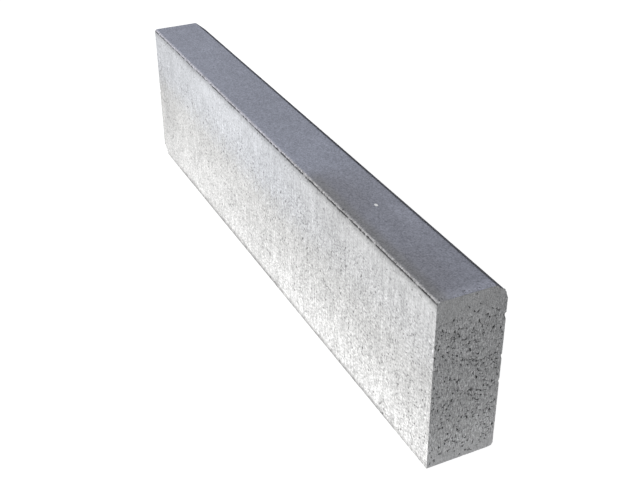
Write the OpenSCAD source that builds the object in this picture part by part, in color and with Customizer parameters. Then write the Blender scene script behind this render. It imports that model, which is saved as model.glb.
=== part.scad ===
// Precast concrete edging unit: a straight, solid bar laid end to end along a path or lawn.
// The origin is the centre of the bed. +X runs along the unit, +Y points to its bevelled
// back and +Z is up. It is pressed in two layers, which bond at an inner joint: a coarse
// core, and a fine wearing layer over its top.

/* [Unit] */
// Length from end to end
unit_l = 1000; // [300:10:1000]
// Width across the bed
unit_w = 98; // [60:1:150]
// Height from the bed to the top
unit_h = 250; // [150:5:400]

/* [Top edges] */
// Width of the back bevel, measured across the top
bevel_w = 17.5; // [6:0.5:25]
// Depth of the back bevel, measured down the back
bevel_d = 15; // [3:0.5:20]
// Size of the small 45 degree arris along the front of the top
arris = 2.5; // [0.5:0.5:5]

/* [Layers] */
// Thickness of the wearing layer, measured square to the top
layer_t = 12; // [6:0.5:30]

/* [Hidden] */

front_y = -unit_w / 2;
back_y = unit_w / 2;

// The joint between the layers lies one thickness inside the top and the bevel,
// so it runs level from the front and then dips to the back.
bevel_angle = atan2(bevel_d, bevel_w);
joint_z = unit_h - layer_t;
dip_y = back_y - bevel_w - layer_t * tan(bevel_angle / 2);
joint_back_z = joint_z - (back_y - dip_y) * tan(bevel_angle);

core_outline = [
    [front_y, 0],
    [back_y, 0],
    [back_y, joint_back_z],
    [dip_y, joint_z],
    [front_y, joint_z]
];

layer_outline = [
    [front_y, joint_z],
    [dip_y, joint_z],
    [back_y, joint_back_z],
    [back_y, unit_h - bevel_d],
    [back_y - bevel_w, unit_h],
    [front_y + arris, unit_h],
    [front_y, unit_h - arris]
];

// Sweeps a cross-section, drawn as [y, z] points, along the whole unit
module bar(outline) {
    rotate([90, 0, 90])
        linear_extrude(height = unit_l, center = true)
            polygon(outline);
}

// Backing concrete, which is nearly the whole unit
module core() {
    color([0.78, 0.78, 0.77])
        bar(core_outline);
}

// Fine, darker concrete that makes the top, the bevel and the arris
module wearing_layer() {
    color([0.53, 0.54, 0.58])
        bar(layer_outline);
}

core();
wearing_layer();
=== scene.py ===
"""A precast concrete edging unit: a pored core and a smooth wearing layer, round the CAD frame."""

import math
from collections import Counter

import bpy
import numpy as np
from mathutils import Matrix, Vector, noise
from mathutils.geometry import delaunay_2d_cdt


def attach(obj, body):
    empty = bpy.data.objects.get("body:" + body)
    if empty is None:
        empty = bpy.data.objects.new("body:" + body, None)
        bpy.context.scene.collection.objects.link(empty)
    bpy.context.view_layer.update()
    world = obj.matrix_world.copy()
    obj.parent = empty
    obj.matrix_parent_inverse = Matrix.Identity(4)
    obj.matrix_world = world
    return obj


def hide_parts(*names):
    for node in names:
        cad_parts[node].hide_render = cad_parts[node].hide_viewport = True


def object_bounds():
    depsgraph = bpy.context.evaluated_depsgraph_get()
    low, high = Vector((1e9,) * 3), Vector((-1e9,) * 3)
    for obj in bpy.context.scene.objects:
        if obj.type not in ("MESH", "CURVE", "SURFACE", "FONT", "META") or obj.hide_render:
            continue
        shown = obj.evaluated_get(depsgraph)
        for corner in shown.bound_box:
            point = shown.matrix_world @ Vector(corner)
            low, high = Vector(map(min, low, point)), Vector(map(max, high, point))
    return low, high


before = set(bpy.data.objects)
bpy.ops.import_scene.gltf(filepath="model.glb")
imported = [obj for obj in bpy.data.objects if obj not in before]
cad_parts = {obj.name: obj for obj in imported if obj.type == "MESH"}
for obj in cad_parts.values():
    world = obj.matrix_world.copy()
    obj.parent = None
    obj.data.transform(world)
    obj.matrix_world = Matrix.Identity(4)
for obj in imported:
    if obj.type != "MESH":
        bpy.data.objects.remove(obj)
CAD_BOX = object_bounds()

MM = 0.001  # metres
NEAR = 0.01  # mm, within which two places are the same
SEED = 7

# ---------------------------------------------------------------------------------------------
# Camera, lights and floor
# ---------------------------------------------------------------------------------------------

VIEW_AZIMUTH = 64.13  # degrees; 0 looks along +Y
VIEW_ELEVATION = 31.01
VIEW_ROLL = -0.23
VIEW_DISTANCE = 1.7082  # metres, from the aim
VIEW_AIM_RIGHT = 0.0428  # metres, from the origin to the aim, across and up the picture
VIEW_AIM_UP = 0.0428
LENS_MM = 58.97
SENSOR_MM = 36.0

KEY_ELEVATION = 33.0  # degrees above the floor
KEY_TURN = 12.0  # degrees from square to the front, towards the far end
KEY_DISTANCE = 4.0
KEY_SIZE = 1.5
KEY_POWER = 195.0
SKY_COLOUR = (0.80, 0.88, 1.0)
SKY_STRENGTH = 0.10
FLOOR_SIZE = 14.0
FLOOR_COLOUR = (0.15, 0.15, 0.15)
FLOOR_GLOW = 1.0


def direction(azimuth, elevation):
    """The unit vector from the object towards a viewer at these angles, in degrees."""
    a, e = math.radians(azimuth), math.radians(elevation)
    return Vector((math.sin(a) * math.cos(e), -math.cos(a) * math.cos(e), math.sin(e)))


def make_camera():
    """The camera, at the angle and distance that the object is seen from."""
    back = direction(VIEW_AZIMUTH, VIEW_ELEVATION)
    level = Vector((math.cos(math.radians(VIEW_AZIMUTH)), math.sin(math.radians(VIEW_AZIMUTH)), 0))
    roll = Matrix.Rotation(math.radians(VIEW_ROLL), 3, back)
    right = roll @ level
    up = roll @ back.cross(level)
    data = bpy.data.cameras.new("camera")
    data.sensor_width = SENSOR_MM
    data.lens = LENS_MM
    data.clip_start = 0.05
    data.clip_end = 60
    camera = bpy.data.objects.new("camera", data)
    camera.matrix_world = Matrix((right, up, back)).transposed().to_4x4()
    camera.location = right * VIEW_AIM_RIGHT + up * VIEW_AIM_UP + back * VIEW_DISTANCE
    bpy.context.scene.collection.objects.link(camera)
    bpy.context.scene.camera = camera


def make_lights():
    """One broad soft key on the front, and a dim cool sky, with white seen behind the floor."""
    towards = direction(-KEY_TURN, KEY_ELEVATION)
    data = bpy.data.lights.new("key", "AREA")
    data.shape = "SQUARE"
    data.size = KEY_SIZE
    data.energy = KEY_POWER
    key = bpy.data.objects.new("key", data)
    key.location = towards * KEY_DISTANCE
    key.rotation_euler = towards.to_track_quat("Z", "Y").to_euler()
    bpy.context.scene.collection.objects.link(key)

    world = bpy.data.worlds.new("sky")
    world.use_nodes = True
    tree = world.node_tree
    background = tree.nodes["Background"]
    background.inputs["Color"].default_value = (*SKY_COLOUR, 1)
    background.inputs["Strength"].default_value = SKY_STRENGTH
    backdrop = tree.nodes.new("ShaderNodeBackground")
    backdrop.inputs["Color"].default_value = (1, 1, 1, 1)
    backdrop.inputs["Strength"].default_value = FLOOR_GLOW
    ray = tree.nodes.new("ShaderNodeLightPath")
    both = tree.nodes.new("ShaderNodeMixShader")
    tree.links.new(ray.outputs["Is Camera Ray"], both.inputs[0])
    tree.links.new(background.outputs[0], both.inputs[1])
    tree.links.new(backdrop.outputs[0], both.inputs[2])
    tree.links.new(both.outputs[0], tree.nodes["World Output"].inputs["Surface"])
    bpy.context.scene.world = world
    bpy.context.scene.view_settings.view_transform = "Standard"


def make_floor():
    """A plain white floor that glows, like a light table."""
    half = FLOOR_SIZE / 2
    corners = [(-half, -half), (half, -half), (half, half), (-half, half)]
    mesh = bpy.data.meshes.new("floor")
    mesh.from_pydata([(x, y, CAD_BOX[0].z) for x, y in corners], [], [(0, 1, 2, 3)])
    floor = bpy.data.objects.new("floor", mesh)
    bpy.context.scene.collection.objects.link(floor)
    material = bpy.data.materials.new("floor")
    material.use_nodes = True
    shader = material.node_tree.nodes["Principled BSDF"]
    shader.inputs["Base Color"].default_value = (*FLOOR_COLOUR, 1)
    shader.inputs["Roughness"].default_value = 1.0
    shader.inputs["Specular IOR Level"].default_value = 0.0
    shader.inputs["Emission Color"].default_value = (1, 1, 1, 1)
    shader.inputs["Emission Strength"].default_value = FLOOR_GLOW
    mesh.materials.append(material)


# ---------------------------------------------------------------------------------------------
# The section, in millimetres, from the CAD wearing layer
# ---------------------------------------------------------------------------------------------


def read_section():
    """Each corner of the section as (y, z), by name."""
    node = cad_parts["wearing_layer"]
    places = np.array([v.co for v in node.data.vertices]) / MM
    y, z = places[:, 1], places[:, 2]
    front, back, high = y.min(), y.max(), z.max()
    on_front = z[y < front + NEAR]
    on_back = z[y > back - NEAR]
    on_top = y[z > high - NEAR]
    joint = on_front.min()
    level = y[abs(z - joint) < NEAR]
    low = CAD_BOX[0].z / MM
    return {
        "front_foot": (front, low),
        "back_foot": (back, low),
        "back_joint": (back, on_back.min()),
        "bevel_low": (back, on_back.max()),
        "bevel_high": (on_top.max(), high),
        "arris_high": (on_top.min(), high),
        "arris_low": (front, on_front.max()),
        "front_joint": (front, joint),
        "dip": (level.max(), joint),
    }


SECTION = read_section()
# The outline, anticlockwise as seen from the +X end
RING = [name for name in SECTION if name != "dip"]
ENDS = (CAD_BOX[0].x / MM, CAD_BOX[1].x / MM)
LENGTH = ENDS[1] - ENDS[0]
TOP = SECTION["arris_high"][1]
FOOT = SECTION["front_foot"][1]


def corner(x, name):
    """A corner of the section at x, as a point in space."""
    return np.array([x, *SECTION[name]], float)


def joint_height(y):
    """Height of the joint between the layers."""
    dip_y, dip_z = SECTION["dip"]
    back_y, back_z = SECTION["back_joint"]
    return dip_z + max(0.0, y - dip_y) * (back_z - dip_z) / (back_y - dip_y)


# ---------------------------------------------------------------------------------------------
# The skin: points on the ideal outside, and the triangles between them
# ---------------------------------------------------------------------------------------------

ARRIS_STEP = 1.25  # mm between points along an arris
JOINT_STEP = 4.0  # mm between points along the joint
FILL_STEP = 9.0  # mm between points over the rest of a face
JITTER = 0.28  # share of a step
# Rows of points beside each arris: how far in, and their spacing
ROWS = ((0.5, 1.3), (1.1, 1.4), (1.9, 1.8), (3.1, 2.8), (5.0, 4.2))
ROW_STRAY = 0.15  # how far those points stray from their row
ROW_GAPS = (0.3, 0.5)  # from those points to the face's edges, and to the joint's line
FILL_GAPS = (6.0, 2.0)  # the same for the points that fill the rest of a face
WELD = 1e-5  # within which the triangulation takes two points as one
MATERIALS = ("moulded_side", "moulded_end", "pressed_top", "bed", "joint")


class Skin:
    """Points shared by both pieces, with how each is sunk, and each piece's triangles."""

    def __init__(self):
        self.points = []
        self.sunk = []
        # how much painted shade each point carries, in a pore, a chip or the groove's dots
        self.pore = []
        self.triangles = {"core": [], "wearing_layer": []}

    def add(self, point, sunk=(0.0, 0.0, 0.0), pore=0.0):
        """Adds a point and returns its number."""
        self.points.append(np.asarray(point, float))
        self.sunk.append(np.asarray(sunk, float))
        self.pore.append(pore)
        return len(self.points) - 1


def stations(start, stop, step, rng):
    """Places from start to stop, about a step apart: the ends are exact and the rest uneven."""
    count = max(2, round(abs(stop - start) / step))
    places = np.linspace(start, stop, count + 1)
    places[1:-1] += rng.uniform(-JITTER, JITTER, count - 1) * (stop - start) / count
    return places


def line_between(skin, first, last, step, rng):
    """New points along the straight line between two points that exist, and those two."""
    a, b = skin.points[first], skin.points[last]
    places = stations(0, np.linalg.norm(b - a), step, rng)
    along = (b - a) / np.linalg.norm(b - a)
    return [first, *[skin.add(a + along * t) for t in places[1:-1]], last]


class Outline:
    """The long lines and end lines that neighbouring faces share."""

    def __init__(self, skin, rng):
        self.corners = {(x, n): skin.add(corner(x, n)) for x in ENDS for n in SECTION}
        self.long = {}
        for name in SECTION:
            step = JOINT_STEP if name in ("front_joint", "back_joint", "dip") else ARRIS_STEP
            first, last = (self.corners[x, name] for x in ENDS)
            self.long[name] = line_between(skin, first, last, step, rng)
        self.end = {}
        pairs = list(zip(RING, RING[1:] + RING[:1]))
        pairs += [("front_joint", "dip"), ("dip", "back_joint")]
        for x in ENDS:
            for a, b in pairs:
                ids = line_between(skin, self.corners[x, a], self.corners[x, b], ARRIS_STEP, rng)
                self.end[x, a, b] = ids


class Patch:
    """One flat face. Its corners run anticlockwise in (u, v), seen from outside."""

    def __init__(self, name, origin, u_axis, v_axis, lines, inner=(), material="moulded_side"):
        self.name = name
        self.origin = np.asarray(origin, float)
        self.u_axis = np.asarray(u_axis, float)
        self.v_axis = np.asarray(v_axis, float)
        self.normal = np.cross(self.u_axis, self.v_axis)
        self.lines = lines
        self.inner = list(inner)
        self.material = material

    def flat(self, points):
        """Points in space as (u, v)."""
        away = np.asarray(points, float) - self.origin
        return np.stack([away @ self.u_axis, away @ self.v_axis], -1)

    def space(self, uv):
        """(u, v) as points in space."""
        uv = np.atleast_2d(uv)
        return self.origin + uv[:, :1] * self.u_axis + uv[:, 1:] * self.v_axis


def long_patch(name, corners, outline, material="moulded_side"):
    """The face between the first and last of these corners of the section, all along the unit."""
    first, last = np.array(SECTION[corners[0]]), np.array(SECTION[corners[-1]])
    across = (last - first) / np.linalg.norm(last - first)
    lines = [outline.long[corners[0]], outline.long[corners[-1]]]
    for x in ENDS:
        lines += [outline.end[x, a, b] for a, b in zip(corners, corners[1:])]
    inner = [outline.long[c] for c in corners[1:-1]]
    return Patch(name, corner(0, corners[0]), (0, *across), (1, 0, 0), lines, inner, material)


def end_patch(name, x, outline):
    """The flat end at x."""
    lines = [outline.end[x, a, b] for a, b in zip(RING, RING[1:] + RING[:1])]
    inner = [outline.end[x, "front_joint", "dip"], outline.end[x, "dip", "back_joint"]]
    y_axis, z_axis = (0, 1, 0), (0, 0, 1)
    axes = (y_axis, z_axis) if x > 0 else (z_axis, y_axis)
    return Patch(name, (x, 0, 0), *axes, lines, inner, "moulded_end")


# ---------------------------------------------------------------------------------------------
# Pores
# ---------------------------------------------------------------------------------------------


def smooth(low, high, value):
    """0 below low, 1 above high and a smooth rise between."""
    t = min(1.0, max(0.0, (value - low) / (high - low)))
    return t * t * (3 - 2 * t)


def wander(point, size, shift=0.0):
    """Smooth noise from about -1 to 1 whose features are about this size, in millimetres."""
    return noise.noise(Vector(point) / size + Vector((shift, 2.3 * shift, -1.7 * shift)))


def clusters(point):
    """Small clusters, for any face."""
    return 0.35 + 0.65 * smooth(-0.25, 0.25, wander(point, 7, 6))


def side_density(point):
    """How thickly the pores lie on a long side: few near the top, most halfway down."""
    depth = TOP - point[2]
    share = 0.08 + 0.92 * smooth(35, 95, depth)
    share *= 1 - 0.45 * smooth(195, 245, depth)
    share *= 0.72 + 0.45 * smooth(-0.3 * LENGTH, 0.42 * LENGTH, point[0])
    return share * smooth(-0.32, 0.28, wander(point, 26, 3)) * clusters(point)


def end_density(point):
    """How thickly the pores lie on an end: in two bands, with smooth stretches between."""
    depth = TOP - point[2]
    share = 0.06 + 0.42 * smooth(25, 58, depth) + 0.5 * smooth(70, 102, depth)
    share *= 1 - 0.55 * smooth(180, 192, depth) * (1 - smooth(198, 206, depth))
    share *= 1 - 0.85 * smooth(224, 240, depth)
    return share * smooth(-0.28, 0.25, wander(point, 16, 11)) * clusters(point)


def even_density(point):
    """Thinly spread pores, for the bed."""
    return smooth(-0.3, 0.3, wander(point, 45, 5))


def rim_density(point):
    """Pores on the top, only along its ends."""
    gap = LENGTH / 2 - abs(point[0])
    return (1 - smooth(3, 10, gap)) * smooth(-0.35, 0.1, wander(point, 9, 4))


# For each face that has pores: darts thrown for each square centimetre, the density, the
# half-widths from least to most, how much longer than wide, and the clear rim round each.
PORES = {
    "front": (3.2, side_density, (0.7, 1.7), (1.0, 2.0), 0.25),
    "back": (1.6, side_density, (0.7, 1.7), (1.0, 2.0), 0.25),
    "near_end": (17.0, end_density, (0.62, 1.4), (1.5, 3.0), 0.15),
    "far_end": (9.0, end_density, (0.62, 1.4), (1.5, 3.0), 0.15),
    "top": (7.0, rim_density, (0.6, 1.1), (1.0, 1.5), 0.3),
    "bed": (0.4, even_density, (0.8, 1.9), (1.0, 1.5), 0.5),
}
# Rings of a pore from the rim in: share of the half-width, share of the depth
PORE_RINGS = ((1.0, 0.0), (0.72, 0.4), (0.38, 0.85))
PORE_DEPTH = 0.5  # times the half-width; steeper walls unwrap apart, which blurs a texture baked onto them
PORE_EDGE_GAP = 0.7  # mm, from a pore's outline to the face's edges
PORE_JOINT_GAP = 0.2  # mm, from a pore's outline to the line of the joint
PORE_ROUGH = 0.3  # how far a pore's outline strays, as a share of its half-widths
PORE_LEAN = 20.0  # degrees, how far a pore leans to either side, as a spread
PORE_SHADE = 0.7  # the "pore" attribute inside a pore, as painted shade; the groove's dots go on to 1


def scatter_pores(patch, loop, outline, inner, rng):
    """Pores that lie clear of each other and of the face's lines: u, v, half-widths and depth."""
    rate, density, widths, lengths, rim = PORES[patch.name]
    low, high = loop.min(0), loop.max(0)
    area = np.prod(high - low)
    upright = abs(patch.v_axis[2]) > 0.5
    kept = np.empty((0, 6))
    for _ in range(int(area / 100 * rate)):
        u, v = rng.uniform(low, high)
        size = widths[0] + (widths[1] - widths[0]) * rng.random() ** 2.2
        longer = rng.uniform(*lengths)
        lean = math.radians(rng.normal(0, PORE_LEAN))
        chance = rng.random()
        half = (size, size * longer) if upright else (size * longer, size)
        reach = max(half) * (1 + PORE_ROUGH)
        if edge_gap((u, v), loop) < reach + PORE_EDGE_GAP:
            continue
        if not inside(np.array([[u, v]]), outline, reach)[0]:
            continue
        if len(inner) and edge_gap((u, v), inner) < reach + PORE_JOINT_GAP:
            continue
        if chance > density(patch.space((u, v))[0]):
            continue
        if len(kept):
            away = np.hypot(kept[:, 0] - u, kept[:, 1] - v)
            if (away - kept[:, 2:4].max(1) * (1 + PORE_ROUGH) - reach).min() < rim:
                continue
        kept = np.vstack([kept, (u, v, *half, size * PORE_DEPTH, lean)])
    return kept


def edge_gap(place, points):
    """Distance from a place to the nearest of the points along the face's lines."""
    return np.hypot(points[:, 0] - place[0], points[:, 1] - place[1]).min()


def pore_points(skin, patch, pore, rng):
    """Adds the rings and the bottom of one pore, and returns their numbers."""
    u, v, half_u, half_v, depth, lean = pore
    width = min(half_u, half_v)
    around = 6 if width < 1.0 else 8 if width < 1.5 else 10
    turn = rng.uniform(0, math.tau)
    made = []
    shape = rng.uniform(1 - PORE_ROUGH, 1 + PORE_ROUGH, around)
    for ring, (share, sink) in enumerate(PORE_RINGS):
        if ring == 2 and around == 6:
            continue
        count = around if ring < 2 else around - 4
        for i in range(count):
            angle = turn + math.tau * (i + 0.5 * (ring % 2)) / count
            wide = share * np.interp(i / count * around, range(around), shape)
            a, b = half_u * wide * math.cos(angle), half_v * wide * math.sin(angle)
            across = a * math.cos(lean) - b * math.sin(lean)
            up = a * math.sin(lean) + b * math.cos(lean)
            place = patch.space((u + across, v + up))[0]
            down = -patch.normal * depth * sink * rng.uniform(0.85, 1.1)
            made.append(skin.add(place, down, PORE_SHADE * (ring > 0)))
    made.append(skin.add(patch.space((u, v))[0], -patch.normal * depth, PORE_SHADE))
    return made


# ---------------------------------------------------------------------------------------------
# Filling a face with points and triangles
# ---------------------------------------------------------------------------------------------


def row_points(skin, patch, rng):
    """Rows of places beside each of the face's straight edges, closest where it may be chipped."""
    places = []
    middle = patch.flat([skin.points[i] for line in patch.lines for i in (line[0], line[-1])]).mean(0)
    for line in patch.lines:
        ends = patch.flat([skin.points[line[0]], skin.points[line[-1]]])
        length = np.linalg.norm(ends[1] - ends[0])
        along = (ends[1] - ends[0]) / length
        inward = np.array([-along[1], along[0]])
        if (middle - ends[0]) @ inward < 0:
            inward = -inward
        for offset, step in ROWS:
            run = stations(offset, length - offset, step, rng) if length > 3 * offset else []
            for t in run:
                deep = offset + rng.uniform(-ROW_STRAY, ROW_STRAY)
                places.append(ends[0] + along * t + inward * deep)
    return np.array(places)


def fill_points(loop, rng):
    """An uneven grid of places over the rest of the face."""
    low, high = loop.min(0), loop.max(0)
    counts = np.maximum(1, np.round((high - low) / FILL_STEP).astype(int))
    u, v = np.meshgrid(*[np.linspace(low[i], high[i], counts[i] + 1)[:-1] for i in (0, 1)])
    places = np.stack([u.ravel(), v.ravel()], -1)
    return places + (rng.uniform(0.2, 0.8, places.shape)) * (high - low) / counts


def inside(places, loop, margin):
    """Which places lie inside the convex loop of corners, by at least margin."""
    keep = np.ones(len(places), bool)
    for a, b in zip(loop, np.roll(loop, -1, 0)):
        along = (b - a) / np.linalg.norm(b - a)
        away = places - a
        keep &= along[0] * away[:, 1] - along[1] * away[:, 0] > margin
    return keep


def convex_loop(places):
    """The corners of the convex outline of some places, anticlockwise."""
    order = places[np.lexsort((places[:, 1], places[:, 0]))]

    def half(points):
        """The outline's corners on one side, in the points' order, without the last."""
        chain = []
        for p in points:
            while len(chain) > 1:
                a, b = chain[-2], chain[-1]
                if (b[0] - a[0]) * (p[1] - a[1]) - (b[1] - a[1]) * (p[0] - a[0]) > NEAR:
                    break
                chain.pop()
            chain.append(p)
        return chain[:-1]

    return np.array(half(order) + half(order[::-1]))


def clear_of(places, others, gap):
    """Which places are at least gap from every one of the others."""
    keep = np.ones(len(places), bool)
    for first in range(0, len(places), 2000):
        some = places[first : first + 2000]
        away = some[:, None] - others[None]
        keep[first : first + 2000] = np.hypot(away[..., 0], away[..., 1]).min(1) > gap
    return keep


def clear_of_pores(places, pores):
    """Which places are outside every pore's rim."""
    keep = np.ones(len(places), bool)
    reach = 1 + 1.3 * PORE_ROUGH
    for u, v, half_u, half_v, _, lean in pores:
        across, up = places[:, 0] - u, places[:, 1] - v
        a = (across * math.cos(lean) + up * math.sin(lean)) / (half_u * reach)
        b = (up * math.cos(lean) - across * math.sin(lean)) / (half_v * reach)
        keep &= a * a + b * b > 1
    return keep


def fill_patch(skin, patch, rng, detailed=True):
    """Covers a face with points and triangles, and shares the triangles between the pieces."""
    edges = [pair for line in patch.lines + patch.inner for pair in zip(line, line[1:])]
    ids = sorted({i for pair in edges for i in pair})
    rim = sorted({i for line in patch.lines for i in line})
    loop = patch.flat([skin.points[i] for i in rim])
    outline = convex_loop(loop)
    inner = loop[:0]
    if patch.inner:
        inner = patch.flat([skin.points[i] for line in patch.inner for i in line])
    if detailed:
        pores = np.empty((0, 6))
        if patch.name in PORES:
            pores = scatter_pores(patch, loop, outline, inner, rng)
        for pore in pores:
            ids += pore_points(skin, patch, pore, rng)
        rows = row_points(skin, patch, rng)
        rows = rows[inside(rows, outline, ROW_GAPS[0])]
        rows = rows[clear_of_pores(rows, pores)]
        if len(inner):
            rows = rows[clear_of(rows, inner, ROW_GAPS[1])]
        rest = fill_points(loop, rng)
        rest = rest[inside(rest, outline, FILL_GAPS[0])]
        rest = rest[clear_of_pores(rest, pores)]
        if len(inner) and len(rest):
            rest = rest[clear_of(rest, inner, FILL_GAPS[1])]
        extra = np.vstack([rows, rest]) if len(rest) else rows
        ids += [skin.add(p) for p in patch.space(extra)]
    places = patch.flat([skin.points[i] for i in ids])
    number = {i: n for n, i in enumerate(ids)}
    links = [(number[a], number[b]) for a, b in edges]
    found = delaunay_2d_cdt([Vector(p) for p in places], links, [], 1, WELD, True)
    source = [o[0] for o in found[3]]
    triangles = [tuple(ids[source[i]] for i in f) for f in found[2]]
    return turned(skin, patch, np.array(within(triangles, patch)))


def sides(triangle):
    """The three edges of a triangle, each as a pair in order."""
    a, b, c = sorted(triangle)
    return (a, b), (a, c), (b, c)


def within(triangles, patch):
    """The triangles without the slivers of no area that lie outside the face's own lines."""
    rim = {tuple(sorted(pair)) for line in patch.lines for pair in zip(line, line[1:])}
    while True:
        shared = Counter(side for t in triangles for side in sides(t))
        kept = [t for t in triangles if all(shared[side] > 1 or side in rim for side in sides(t))]
        if len(kept) == len(triangles):
            return kept
        triangles = kept


def turned(skin, patch, triangles):
    """The triangles, each turned to face outwards."""
    points = np.array(skin.points)[triangles]
    facing = np.cross(points[:, 1] - points[:, 0], points[:, 2] - points[:, 0]) @ patch.normal
    return np.where(facing[:, None] > 0, triangles, triangles[:, ::-1])


def build_skin(rng):
    """Both pieces' triangles, on shared points."""
    skin = Skin()
    outline = Outline(skin, rng)
    patches = [
        long_patch("bed", ["front_foot", "back_foot"], outline, "bed"),
        long_patch("back", ["back_foot", "back_joint", "bevel_low"], outline),
        long_patch("bevel", ["bevel_low", "bevel_high"], outline, "pressed_top"),
        long_patch("top", ["bevel_high", "arris_high"], outline, "pressed_top"),
        long_patch("arris", ["arris_high", "arris_low"], outline, "pressed_top"),
        long_patch("front", ["arris_low", "front_joint", "front_foot"], outline),
        end_patch("near_end", ENDS[1], outline),
        end_patch("far_end", ENDS[0], outline),
    ]
    for patch in patches:
        index = MATERIALS.index(patch.material)
        for t in fill_patch(skin, patch, rng):
            middle = np.mean([skin.points[i] for i in t], 0)
            piece = "wearing_layer" if middle[2] > joint_height(middle[1]) else "core"
            skin.triangles[piece].append((*t, index))
    index = MATERIALS.index("joint")
    for pair in (["back_joint", "dip"], ["dip", "front_joint"]):
        joint = joint_patch(pair, outline)
        for t in fill_patch(skin, joint, rng, detailed=False):
            skin.triangles["core"].append((*t, index))
            skin.triangles["wearing_layer"].append((*t[::-1], index))
    return skin


def joint_patch(pair, outline):
    """One flat stretch of the hidden joint between the layers, facing up."""
    first, last = (np.array(SECTION[n]) for n in pair)
    across = (last - first) / np.linalg.norm(last - first)
    lines = [outline.long[n] for n in pair] + [outline.end[x, pair[1], pair[0]] for x in ENDS]
    return Patch("joint", corner(0, pair[0]), (0, *across), (1, 0, 0), lines, material="joint")


# ---------------------------------------------------------------------------------------------
# Wear: what moves the skin's points from their ideal places
# ---------------------------------------------------------------------------------------------

MAX_REACH = 8.0  # mm, the furthest that wear at an arris spreads
UNEVEN = 0.12  # mm, the deepest broad hollow
GROOVE_BELOW = 0.5  # mm, from the foot of the front arris down to the groove's middle
GROOVE_HALF = 1.0  # mm, the groove's half-width
GROOVE_DEPTH = 1.9  # mm, at its deepest
# The burr that tops the bevel at the near end: how far it reaches along the unit, and its
# height over the bevel at some distances back from the bevel's top, all in mm
BURR_LENGTH = 2.5
BURR = ((0, 0), (7, 0), (9, 0.9), (13.3, 2.2), (15.5, 0.6), (17.5, 0))
# Chips: which end, side and height, in mm; how far each reaches, how deep it goes, and how much
# painted shade lies in it
CHIPS = (
    (1, 1, 235, 6.5, 1.7, 0.0),
    (1, 1, 203, 4.5, 1.8, 0.9),
    (1, 1, 143, 3.5, 0.9, 0.3),
    (1, 1, 105, 4.0, 0.8, 0.3),
    (1, -1, 186, 5.0, 1.5, 0.8),
    (1, -1, 172, 4.0, 1.2, 0.8),
    (1, -1, 152, 4.5, 1.2, 0.6),
    (1, 1, 0, 4.5, 1.3, 0.0),
    (1, -1, 250, 4.0, 1.2, 0.0),
    (-1, -1, 0, 16.0, 5.0, 0.5),
    (-1, 1, 96, 6.0, 2.0, 0.8),
    (-1, -1, 128, 4.0, 1.0, 0.5),
)

# For each arris, in mm: the least depth worn off it, the depth of its ragged breaks, and how
# long they are
ARRIS_WEAR = {
    "front_foot": (0.08, 0.6, 6.0),
    "back_foot": (0.25, 0.9, 5.0),
    "bevel_low": (0.0, 0.3, 6.0),
    "bevel_high": (0.1, 0.25, 9.0),
    "arris_high": (0.25, 0.35, 7.0),
    "arris_low": (0.10, 0.55, 3.0),
    "end_upright": (0.0, 0.6, 4.5),
    "end_top": (0.15, 1.3, 5.0),
    "end_bevel": (0.0, 0.3, 5.0),
    "end_foot": (0.2, 0.7, 5.0),
}

# Which kind each line of an end is, where it isn't the top's
END_ARRISES = {
    ("front_foot", "back_foot"): "end_foot",
    ("back_foot", "bevel_low"): "end_upright",
    ("bevel_low", "bevel_high"): "end_bevel",
    ("arris_low", "front_foot"): "end_upright",
}


class Arris:
    """One edge of the ideal shape, with how it is worn along its length."""

    def __init__(self, first, last, inward, wear, shift):
        self.first = np.asarray(first, float)
        self.length = np.linalg.norm(np.asarray(last) - self.first)
        self.along = (np.asarray(last) - self.first) / self.length
        self.inward = np.asarray(inward, float) / np.linalg.norm(inward)
        self.least, self.ragged, self.break_length = wear
        self.shift = shift

    def depth(self, t):
        """How much is worn off at t along the arris."""
        fine = noise.noise(Vector((t / self.break_length, self.shift, 0.5)))
        finer = noise.noise(Vector((t / self.break_length * 2.7, self.shift, 7.5)))
        patchy = smooth(-0.35, 0.4, noise.noise(Vector((t / 55, self.shift, 3.5))))
        return self.least + self.ragged * patchy * max(0.0, fine + 0.5 * finer)


def arrises():
    """Every arris of the unit."""
    found = []
    worn = [n for n in RING if "joint" not in n]
    for n, name in enumerate(worn):
        before, after = worn[n - 1], worn[(n + 1) % len(worn)]
        here = np.array(SECTION[name])
        arms = [np.array(SECTION[o]) - here for o in (before, after)]
        inward = sum(a / np.linalg.norm(a) for a in arms)
        first, last = (corner(x, name) for x in ENDS)
        found.append(Arris(first, last, (0, *inward), ARRIS_WEAR[name], 10 + n))
        for x in ENDS:
            start, stop = corner(x, name), corner(x, after)
            kind = END_ARRISES.get((name, after), "end_top")
            side = np.cross((stop - start) / np.linalg.norm(stop - start), (1, 0, 0))
            inward = -side - np.array([math.copysign(1, x), 0, 0])
            found.append(Arris(start, stop, inward, ARRIS_WEAR[kind], 40 + n + x / 100))
    return found


def worn_points(points):
    """How far wear at the arrises moves each point."""
    moved = np.zeros_like(points)
    for arris in arrises():
        away = points - arris.first
        t = np.clip(away @ arris.along, 0, arris.length)
        gap = np.linalg.norm(away - t[:, None] * arris.along, axis=1)
        for i in np.nonzero(gap < MAX_REACH)[0]:
            depth = arris.depth(t[i])
            reach = min(MAX_REACH, 0.8 + 2.4 * depth)
            moved[i] += arris.inward * depth * max(0.0, 1 - gap[i] / reach) ** 2
    return moved


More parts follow.
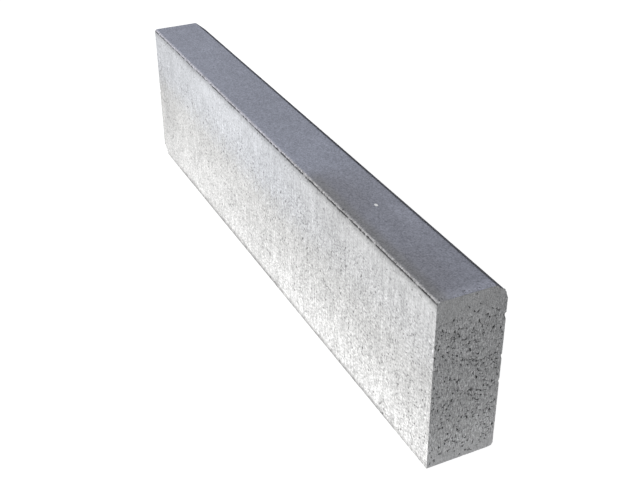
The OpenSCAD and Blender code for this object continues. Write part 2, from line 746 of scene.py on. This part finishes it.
def chipped_points(points):
    """How far chips at the upright arrises move each point, and how much painted shade each point
    takes from lying deep in one.
    """
    moved = np.zeros_like(points)
    deep = np.zeros(len(points))
    for end, side, height, reach, depth, painted_shade in CHIPS:
        foot = "front_foot" if side < 0 else "back_foot"
        place = np.array([ENDS[end > 0], SECTION[foot][0], height])
        gap = np.linalg.norm(points - place, axis=1)
        for i in np.nonzero(gap < reach)[0]:
            ragged = 1 + 0.6 * wander(points[i], 2.5, 12)
            share = max(0.0, 1 - (gap[i] / reach) ** 2) * ragged
            moved[i] -= np.array([end, side, 0]) * depth * share / math.sqrt(2)
            broken = smooth(-0.2, 0.3, wander(points[i], 1.8, 14))
            # painted shade, deepest in the middle of the chip
            deep[i] = max(deep[i], painted_shade * smooth(0.25, 0.9, share) * broken)
    return moved, deep


def burr(points):
    """The burr on the bevel at the near end."""
    top_y, top_z = SECTION["bevel_high"]
    low_y, low_z = SECTION["bevel_low"]
    steps, rises = np.array(BURR).T
    plane = top_z + (points[:, 1] - top_y) * (low_z - top_z) / (low_y - top_y)
    near = (points[:, 0] > ENDS[1] - BURR_LENGTH) & (points[:, 1] > top_y)
    near &= points[:, 2] > plane - NEAR
    moved = np.zeros_like(points)
    for i in np.nonzero(near)[0]:
        x, y, _ = points[i]
        share = smooth(ENDS[1] - BURR_LENGTH, ENDS[1] - 0.4 * BURR_LENGTH, x)
        moved[i, 2] = share * np.interp(y - top_y, steps, rises)
    return moved


def uneven_points(points):
    """Broad shallow hollows: every point goes in a little towards the middle of the unit."""
    half = np.array([LENGTH / 2, SECTION["back_foot"][0], (TOP - FOOT) / 2])
    centre = np.array([0, 0, (TOP + FOOT) / 2])
    moved = np.zeros_like(points)
    for i, p in enumerate(points):
        depth = 0.5 + 0.35 * wander(p, 90) + 0.25 * wander(p, 30, 4)
        moved[i] = -(p - centre) / half * UNEVEN * min(1.0, max(0.0, depth))
    return moved


def groove(points):
    """The broken groove that the press head's edge leaves under the front arris, and the painted shade
    in its dots.
    """
    front_y, foot_z = SECTION["arris_low"]
    moved = np.zeros_like(points)
    painted_shade = np.zeros(len(points))
    rise = points[:, 2] - foot_z
    slope = abs(points[:, 1] - front_y - np.maximum(rise, 0)) < NEAR
    below = np.where(rise > 0, -math.sqrt(2) * rise, -rise)
    for i in np.nonzero(slope & (abs(below) < 3))[0]:
        x = points[i, 0]
        middle = GROOVE_BELOW + 0.35 * wander((x, 0, 0), 22, 8) + 0.45 * wander((x, 0, 0), 6, 18)
        across = (below[i] - middle) / GROOVE_HALF
        strength = 0.35 + 0.65 * smooth(-0.4 * LENGTH, 0.15 * LENGTH, x)
        beads = wander((x, 0, 0), 3.4, 1) + 0.5 * wander((x, 0, 0), 13, 2)
        dots = smooth(-0.3, 0.3, beads + 0.2 * strength)
        depth = math.exp(-across * across) * (0.2 + 0.8 * dots)
        moved[i, 1] = GROOVE_DEPTH * depth * strength
        # painted shade in the groove's dots
        painted_shade[i] = min(1.0, 1.9 * depth * (0.5 + 0.5 * strength))
    return moved, painted_shade


# ---------------------------------------------------------------------------------------------
# Materials
# ---------------------------------------------------------------------------------------------

GLOSS = 0.25  # specular level of dry concrete
# Colours of the concrete, before a tone lightens or darkens them
SIDE_WARM = (0.45, 0.447, 0.442, 1)
SIDE_COOL = (0.425, 0.433, 0.452, 1)
END_GREY = (0.415, 0.415, 0.417)
# The top's three colours are its own blue-grey, made darker and bluer than the sides' by painted
# shade, as if lit by sky alone; damp and grime darken them further
TOP_DRY_SHADED = (0.296, 0.308, 0.365, 1)
TOP_DAMP_SHADED = (0.246, 0.249, 0.286, 1)
TOP_GRIMY_SHADED = (0.222, 0.221, 0.232, 1)
RUBBED_DRY = (0.284, 0.281, 0.312, 1)
RUBBED_DAMP = (0.256, 0.253, 0.257, 1)
# The bevel's two colours are painted shade: dark blue, darker towards the near end, as if the bevel
# faced away from the light
BEVEL_SHADE_FAR = (0.18, 0.19, 0.24, 1)
BEVEL_SHADE_NEAR = (0.105, 0.110, 0.150, 1)
BEVEL_WORN = (0.29, 0.29, 0.31, 1)
SPECK_WHITE = (0.96, 0.96, 0.96, 1)
BED_GREY = (0.37, 0.365, 0.35)
JOINT_GREY = (0.33, 0.33, 0.33)
# Marks on the top: x, y and half-widths in mm, and how soft the edge is
DAMP_SPOTS = ((225, -32, 45, 22, 2.0), (435, -30, 40, 22, 2.0))
SMEAR = (307, 18, 32, 9, 1.4)
# The pit is painted shade: a dark spot standing for a small pit's hollow, which the mesh lacks
PIT_SHADE = (262, -46, 2.2, 1.6, 0.4)
SPECK = (271, -2, 3.4, 2.1, 0.3)
# Broad lighter and darker patches of the sides: x, z and half-widths in mm, how much lighter
SIDE_CLOUDS = ((-150, 215, 130, 32, 0.08), (250, 220, 60, 28, -0.06), (220, 148, 90, 22, -0.05))


class Shader:
    """A material whose nodes are written as sums. Lengths are in millimetres."""

    def __init__(self, name):
        self.material = bpy.data.materials.new(name)
        self.material.use_nodes = True
        self.tree = self.material.node_tree
        self.tree.nodes.clear()
        metres = self.node("ShaderNodeTexCoord", out="Object")
        self.place = self.node("ShaderNodeMapping", Vector=metres, Scale=(1 / MM,) * 3)

    def node(self, kind, out=0, settings=(), **inputs):
        """Adds a node, feeds its inputs with numbers or other outputs, and returns an output."""
        made = self.tree.nodes.new(kind)
        for name, value in dict(settings).items():
            setattr(made, name, value)
        for name, value in inputs.items():
            key = int(name[1:]) if name[0] == "_" else name.replace("_", " ")
            if isinstance(value, bpy.types.NodeSocket):
                self.tree.links.new(value, made.inputs[key])
            else:
                made.inputs[key].default_value = value
        return None if out is None else made.outputs[out]

    def maths(self, operation, a, b=0.0):
        """One sum of two numbers or outputs."""
        return self.node("ShaderNodeMath", settings={"operation": operation}, _0=a, _1=b)

    def plus(self, a, b):
        return self.maths("ADD", a, b)

    def times(self, a, b):
        return self.maths("MULTIPLY", a, b)

    def ramp(self, value, low, high, start=0.0, stop=1.0):
        """start at low and before it, stop at high and past it, smooth between. Either may be more."""
        return self.node("ShaderNodeMapRange", settings={"interpolation_type": "SMOOTHSTEP"},
                         Value=value, From_Min=low, From_Max=high, To_Min=start, To_Max=stop)

    def stretched(self, stretch, moved):
        """The place drawn out along each axis by stretch, and moved."""
        scale = tuple(1 / share for share in stretch)
        return self.node("ShaderNodeMapping", Vector=self.place, Location=moved, Scale=scale)

    def noise(self, size, detail=2.0, stretch=(1, 1, 1), shift=0.0, rough=0.5):
        """Noise about 0.5, with features of this size, drawn out along an axis by stretch."""
        place = self.stretched(stretch, (shift, shift * 1.7, -shift * 0.6))
        settings = {"Scale": 1 / size, "Detail": detail, "Roughness": rough}
        return self.node("ShaderNodeTexNoise", Vector=place, **settings)

    def cells(self, size, stretch=(1, 1, 1), shift=0.0):
        """Distance to the nearest of some scattered points, about this size apart."""
        place = self.stretched(stretch, (shift, -shift, shift * 2.1))
        return self.node("ShaderNodeTexVoronoi", out="Distance", Vector=place, Scale=1 / size)

    def attribute(self, name):
        """A value that the mesh holds at each point."""
        return self.node("ShaderNodeAttribute", out="Fac", settings={"attribute_name": name})

    def axis(self, name):
        """One coordinate of the place on the unit, in millimetres."""
        return self.node("ShaderNodeSeparateXYZ", out=name, Vector=self.place)

    def blend(self, share, a, b):
        """From colour a to colour b as share goes from 0 to 1."""
        return self.node("ShaderNodeMix", out=2, settings={"data_type": "RGBA"}, _0=share, _6=a, _7=b)

    def scaled(self, colour, by):
        """A colour made lighter or darker."""
        return self.node("ShaderNodeVectorMath", settings={"operation": "SCALE"}, _0=colour, Scale=by)

    def spot(self, x, across, half_x, half_across, soft=1.0, name="Y"):
        """1 within an ellipse on the top, or on a side where name is Z, and 0 well outside it."""
        a = self.maths("POWER", self.times(self.plus(self.axis("X"), -x), 1 / half_x), 2.0)
        b = self.maths("POWER", self.times(self.plus(self.axis(name), -across), 1 / half_across), 2.0)
        return self.ramp(self.plus(a, b), 1 - 0.5 * soft, 1 + soft, 1.0, 0.0)

    def finish(self, colour, roughness, height):
        """The concrete shader. height is in millimetres."""
        bump = self.node("ShaderNodeBump", Height=height, Distance=MM, Strength=1.0)
        inputs = {"Base_Color": colour, "Roughness": roughness, "Normal": bump}
        shader = self.node("ShaderNodeBsdfPrincipled", **inputs)
        shader.node.inputs["Specular IOR Level"].default_value = GLOSS
        self.node("ShaderNodeOutputMaterial", out=None, Surface=shader)
        return self.material


def centred(s, value, amount):
    """1 plus or minus amount, as value goes from 0.25 to 0.75."""
    return s.node("ShaderNodeMapRange", settings={"clamp": False}, Value=value,
                  From_Min=0.25, From_Max=0.75, To_Min=1 - amount, To_Max=1 + amount)


def eased(s, tone, share):
    """A tone brought towards 1, all the way where share is 0."""
    return s.plus(s.times(s.plus(tone, -1.0), share), 1.0)


def painted_hollow_shade(s, tone, pore, groove):
    """The tone darkened to these shares inside pores and, further, in the groove's dots: painted shade
    in the hollows, chips included.
    """
    tone = s.times(tone, s.ramp(s.attribute("pore"), 0, PORE_SHADE, 1.0, pore))
    return s.times(tone, s.ramp(s.attribute("pore"), PORE_SHADE, 1.0, 1.0, groove))


def moulded_side():
    """A long side: pale cement skin drawn upwards out of the mould, with fine pores."""
    s = Shader("moulded_side")
    height = s.axis("Z")
    cloud = s.noise(110, 3, shift=40)
    patch = s.noise(34, 3, stretch=(1, 1, 1.3), shift=17, rough=0.55)
    mottle = s.noise(13, 3, stretch=(1, 1, 1.5), rough=0.6)
    grit = s.noise(3.6, 2, stretch=(1, 1, 0.8), shift=23, rough=0.7)
    drag = s.noise(4.5, 2, stretch=(1, 1, 14), shift=5)
    sand = s.noise(1.3, 2, rough=0.7)
    fleck = s.cells(7.0, shift=3)
    low = s.plus(height, s.times(s.plus(cloud, -0.5), 150))
    cool = s.ramp(s.plus(height, s.times(s.plus(mottle, -0.5), 60)), 120, 190)
    cool = s.times(cool, s.ramp(s.axis("X"), 0, 300, 1.0, 0.3))
    colour = s.blend(cool, SIDE_WARM, SIDE_COOL)
    # Lighter towards the foot, and more so towards the near end: painted light bounced up from the
    # floor
    tone = s.plus(s.ramp(low, 170, 25, 0.93, 1.13), s.ramp(height, 110, 20, 0.0, 0.05))
    tone = s.plus(tone, s.times(s.ramp(height, 100, 30), s.ramp(s.axis("X"), -50, 150, -0.02, 0.1)))
    for x, z, half_x, half_z, lighter in SIDE_CLOUDS:
        tone = s.plus(tone, s.times(s.spot(x, z, half_x, half_z, 1.8, "Z"), lighter))
    far = s.ramp(s.axis("X"), -340, -470)
    tone = s.plus(tone, s.times(far, s.ramp(height, 220, 150, -0.02, -0.14)))
    for value, amount in ((cloud, 0.05), (patch, 0.07), (mottle, 0.08)):
        tone = s.times(tone, centred(s, value, amount))
    tone = s.times(tone, eased(s, centred(s, drag, 0.16), s.ramp(s.axis("X"), -450, 150, 0.6, 1.0)))
    grain = s.times(centred(s, grit, 0.42), centred(s, sand, 0.18))
    coarse = s.times(s.ramp(s.axis("X"), -450, 150, 0.86, 1.06), s.ramp(height, 110, 30, 1.0, 1.12))
    coarse = s.times(coarse, s.ramp(height, TOP - 65, TOP - 20, 1.0, 0.6))
    tone = s.times(tone, eased(s, grain, coarse))
    tone = s.times(tone, s.ramp(s.plus(fleck, s.times(grit, 0.5)), 0.36, 0.5, 0.74, 1.0))
    brow = s.plus(height, s.times(s.plus(drag, -0.5), 8))
    tone = s.times(tone, s.ramp(brow, TOP - 15, TOP - 4, 1.0, 0.70))
    sole = s.plus(height, s.times(s.plus(mottle, -0.5), 5))
    ends = s.ramp(s.maths("ABSOLUTE", s.axis("X")), 370, 470, 1.0, 0.4)
    tone = s.times(tone, eased(s, s.ramp(sole, 0.5, 10.5, 0.5, 1.0), ends))
    tone = painted_hollow_shade(s, tone, 0.38, 0.2)
    bump = s.plus(s.times(sand, 0.35), s.times(drag, 0.3))
    bump = s.plus(bump, s.ramp(fleck, 0.1, 0.3, -0.4, 0.0))
    bump = s.plus(bump, s.plus(s.times(grit, 0.6), s.times(mottle, 0.5)))
    return s.finish(s.scaled(colour, tone), s.ramp(sand, 0.3, 0.7, 0.8, 0.95), bump)


def moulded_end():
    """An end: rougher and greyer, its pores drawn upright."""
    s = Shader("moulded_end")
    height = s.axis("Z")
    cloud = s.noise(60, 3, shift=9)
    mottle = s.noise(9, 3, stretch=(1, 1, 1.8), rough=0.6)
    grit = s.noise(1.1, 0, stretch=(1, 1, 1.7), shift=23)
    drag = s.noise(1.2, 0, stretch=(1, 1, 5), shift=5)
    sand = s.noise(1.2, 2, rough=0.7)
    fleck = s.cells(3.6, stretch=(1, 1, 2), shift=3)
    few = s.ramp(height, 205, 235, 0.0, 0.7)
    few = s.maths("MAXIMUM", few, s.ramp(height, 28, 12, 0.0, 0.75))
    # Lighter towards the foot: painted light bounced up from the floor
    tone = s.ramp(height, 90, 0, 0.98, 1.29)
    tone = s.plus(tone, s.times(s.ramp(s.axis("Y"), -10, 35), s.ramp(height, 190, 60, -0.06, 0.07)))
    for value, amount in ((cloud, 0.04), (mottle, 0.03)):
        tone = s.times(tone, centred(s, value, amount))
    rough = s.times(s.times(centred(s, grit, 0.3), centred(s, drag, 0.32)), centred(s, sand, 0.08))
    rough = s.times(rough, s.ramp(s.plus(fleck, s.times(grit, 0.5)), 0.36, 0.46, 0.5, 1.03))
    tone = s.times(tone, eased(s, rough, s.plus(1.0, s.times(few, -0.75))))
    tone = painted_hollow_shade(s, tone, 0.06, 0.8)
    bump = s.plus(s.times(sand, 0.4), s.times(drag, 0.3))
    bump = s.plus(bump, s.plus(s.times(grit, 0.6), s.times(mottle, 0.6)))
    return s.finish(s.scaled(END_GREY, tone), s.ramp(sand, 0.3, 0.7, 0.82, 0.95), bump)


def pressed_top():
    """The top, the front arris and the bevel: fine, dense and blue-grey, darker where damp; painted
    shade darkens and blues the top, and darkens the bevel more.
    """
    s = Shader("pressed_top")
    cloud = s.noise(90, 3, shift=21)
    mottle = s.noise(16, 3, stretch=(1.6, 1, 1), rough=0.55)
    grit = s.noise(2.3, 1, shift=31, rough=0.65)
    sand = s.noise(1.1, 2, rough=0.7)
    edge = s.plus(s.axis("X"), s.times(s.plus(cloud, -0.5), 160))
    damp = s.ramp(edge, 130, 215)
    damp = s.times(damp, 0.7)
    for spot in DAMP_SPOTS:
        damp = s.plus(damp, s.times(s.spot(*spot), 0.4))
    damp = s.times(damp, s.ramp(s.axis("Y"), -8, 26, 1.0, 0.72))
    colour = s.blend(damp, TOP_DRY_SHADED, TOP_DAMP_SHADED)
    grimy = s.times(s.ramp(s.axis("Y"), -24, -42), s.ramp(edge, 130, 230))
    colour = s.blend(grimy, colour, TOP_GRIMY_SHADED)
    tone = s.ramp(s.axis("X"), -350, 0, 1.19, 1.16)
    tone = s.plus(tone, s.ramp(s.axis("X"), 150, 350, 0.0, -0.03))
    tone = s.plus(tone, s.ramp(s.axis("X"), 480, 494, 0.0, 0.25))
    for value, amount in ((cloud, 0.05), (mottle, 0.06), (grit, 0.31), (sand, 0.14)):
        tone = s.times(tone, centred(s, value, amount))
    tone = s.plus(tone, s.times(s.spot(*SMEAR), 0.13))
    tone = painted_hollow_shade(s, tone, 0.3, 1.0)
    # painted shade of the pit
    tone = s.times(tone, s.plus(1.0, s.times(s.spot(*PIT_SHADE), -0.6)))
    arris_y, bevel_y = SECTION["arris_high"][0], SECTION["bevel_high"][0]
    strip = s.ramp(s.axis("Y"), arris_y + 1.2, arris_y - 0.2)
    tone = s.times(tone, eased(s, centred(s, s.noise(2.6, 1, shift=12), 0.45), strip))
    rubbed = s.blend(s.ramp(edge, 50, 200), RUBBED_DRY, RUBBED_DAMP)
    colour = s.blend(strip, colour, rubbed)
    # The bevel painted in shade, darkest towards the near end, fading to a lighter colour towards its
    # lower edge
    shaded_bevel = s.ramp(s.axis("Y"), bevel_y + 0.8, bevel_y + 3.5)
    bevel = s.blend(s.ramp(s.axis("X"), -250, 150), BEVEL_SHADE_FAR, BEVEL_SHADE_NEAR)
    bevel = s.scaled(bevel, s.times(centred(s, mottle, 0.5), centred(s, cloud, 0.3)))
    colour = s.blend(shaded_bevel, colour, bevel)
    wear = s.plus(s.axis("Z"), s.times(s.noise(5, 2, shift=41), -7.0))
    low = SECTION["bevel_low"][1]
    colour = s.blend(s.ramp(wear, low - 1.0, low - 3.5, 0.0, 0.6), colour, BEVEL_WORN)
    colour = s.blend(s.spot(*SPECK), s.scaled(colour, tone), SPECK_WHITE)
    bump = s.plus(s.times(sand, 0.12), s.times(mottle, 0.25))
    return s.finish(colour, s.ramp(damp, 0, 1, 0.78, 0.66), bump)


def bed():
    """The underside, which stood on the mould's board."""
    s = Shader("bed")
    cloud = s.noise(80, 3, shift=60)
    mottle = s.noise(10, 3, rough=0.6)
    sand = s.noise(1.4, 2, rough=0.7)
    tone = centred(s, cloud, 0.08)
    for value, amount in ((mottle, 0.1), (sand, 0.14)):
        tone = s.times(tone, centred(s, value, amount))
    # painted shade inside the bed's pores
    tone = s.times(tone, s.ramp(s.attribute("pore"), 0, PORE_SHADE, 1.0, 0.35))
    bump = s.plus(s.times(sand, 0.3), s.times(mottle, 0.8))
    return s.finish(s.scaled(BED_GREY, tone), s.ramp(sand, 0.3, 0.7, 0.82, 0.95), bump)


def joint():
    """The hidden joint between the layers."""
    s = Shader("joint")
    grain = s.noise(4, 3, rough=0.7)
    colour = s.scaled(JOINT_GREY, centred(s, grain, 0.15))
    return s.finish(colour, s.ramp(grain, 0.3, 0.7, 0.85, 0.95), grain)


# ---------------------------------------------------------------------------------------------
# Pieces
# ---------------------------------------------------------------------------------------------

SLOTS = {"core": "core_concrete", "wearing_layer": "wearing_concrete"}
SHARP = 38.0  # degrees; an edge that turns more than this is drawn sharp


def make_piece(node, skin, places, pore, materials):
    """One piece as a closed mesh that stands for its CAD node."""
    triangles = np.array(skin.triangles[node])
    used, local = np.unique(triangles[:, :3], return_inverse=True)
    mesh = bpy.data.meshes.new(node + "_concrete")
    mesh.from_pydata((places[used] * MM).tolist(), [], local.reshape(-1, 3).tolist())
    for material in materials:
        mesh.materials.append(material)
    mesh.polygons.foreach_set("material_index", triangles[:, 3].astype(np.int32))
    layer = mesh.attributes.new("pore", "FLOAT", "POINT")
    layer.data.foreach_set("value", pore[used].astype(np.float32))
    mesh.validate()
    mesh.shade_smooth()
    mesh.set_sharp_from_angle(angle=math.radians(SHARP))
    piece = bpy.data.objects.new(node + "_concrete", mesh)
    bpy.context.scene.collection.objects.link(piece)
    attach(piece, "root")
    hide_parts(node)
    return piece


def make_unit():
    """Both pieces, with their shared points worn alike so that they meet exactly."""
    skin = build_skin(np.random.default_rng(SEED))
    points = np.array(skin.points)
    groove_move, painted_shade = groove(points)
    chip_move, deep = chipped_points(points)
    places = points + np.array(skin.sunk) + worn_points(points) + groove_move + chip_move
    places += burr(points) + uneven_points(points)
    # painted shade in pores, the groove's dots and chips, each point taking the deepest
    pore = np.max([skin.pore, painted_shade, deep], axis=0)
    materials = [moulded_side(), moulded_end(), pressed_top(), bed(), joint()]
    for node in SLOTS:
        make_piece(node, skin, places, pore, materials)


make_camera()
make_lights()
make_floor()
make_unit()
